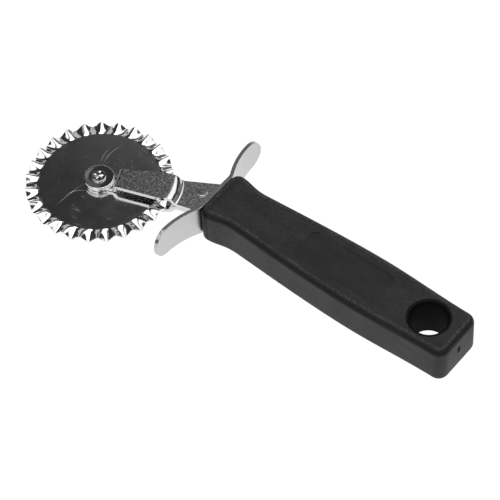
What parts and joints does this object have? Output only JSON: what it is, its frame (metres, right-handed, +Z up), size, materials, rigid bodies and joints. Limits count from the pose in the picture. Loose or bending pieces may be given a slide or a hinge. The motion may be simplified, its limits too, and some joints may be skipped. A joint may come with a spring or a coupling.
{
  "type": "pastry cutter wheel",
  "caption": "Hand-held pastry cutter: a crimped steel wheel on a two-armed fork, with a winged finger guard and a plastic handle with a hanging hole.",
  "frame": {"origin": "middle of the whole cutter's box, on the plane that the handle's flat underside rests on", "axes": "+X along the handle from the guard to the end with the hanging hole, +Y across it to the left, +Z up out of the handle's wide face and along the wheel's axis"},
  "size_m": [0.1784, 0.0758, 0.0172],
  "materials": {
    "wheel_steel": "mirror polished stainless steel with fine turning scratches",
    "hub_steel": "turned steel, satin",
    "arm_steel": "tumbled stainless sheet with bright rounded edges",
    "guard_steel": "satin polished stainless sheet",
    "handle_plastic": "moulded plastic with a fine matt texture"
  },
  "bodies": {
    "frame": {"handle": "handle_plastic", "finger_guard": "guard_steel", "upper_fork_arm": "arm_steel", "lower_fork_arm": "arm_steel", "front_rivet": "hub_steel", "tang_rivet": "hub_steel", "axle_pin": "hub_steel", "hub_washer": "hub_steel", "wheel_bush": "hub_steel"},
    "wheel": {"cutter_wheel": "wheel_steel"}
  },
  "joints": [
    {"name": "wheel_spin", "type": "hinge", "parent": "frame", "child": "wheel", "pos_m": [-0.06173, -0.01037, 0.0086], "axis": [0, 0, 1], "continuous": true}
  ]
}
